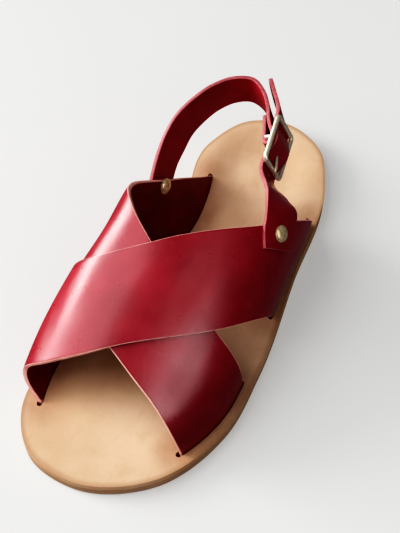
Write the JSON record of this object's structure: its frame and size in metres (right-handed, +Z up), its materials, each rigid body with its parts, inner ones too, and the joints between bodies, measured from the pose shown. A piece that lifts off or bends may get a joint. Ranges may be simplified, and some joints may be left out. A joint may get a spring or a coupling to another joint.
{
  "type": "strappy sandal",
  "caption": "Flat left sandal with crossed wide leather straps set into slots in a leather footbed, a buckled slingback and a thin brown sole.",
  "frame": {"origin": "underside of the sole on the floor, under the middle of the foot", "axes": "-Y towards the toe, +X towards the outer (lateral) side, +Z up"},
  "size_m": [0.1007, 0.2474, 0.072],
  "materials": {
    "sole": "matte brown",
    "footbed": "natural tan, smooth",
    "straps": "crimson, satin",
    "buckle": "worn nickel plate",
    "rivets": "antique"
  },
  "bodies": {
    "root": {"outsole": "sole", "footbed": "footbed", "upper": "straps", "heel_strap": "straps", "fastening_strap": "straps", "buckle_frame": "buckle", "buckle_prong": "buckle", "rivet_medial": "rivets", "rivet_lateral": "rivets"}
  },
  "joints": []
}
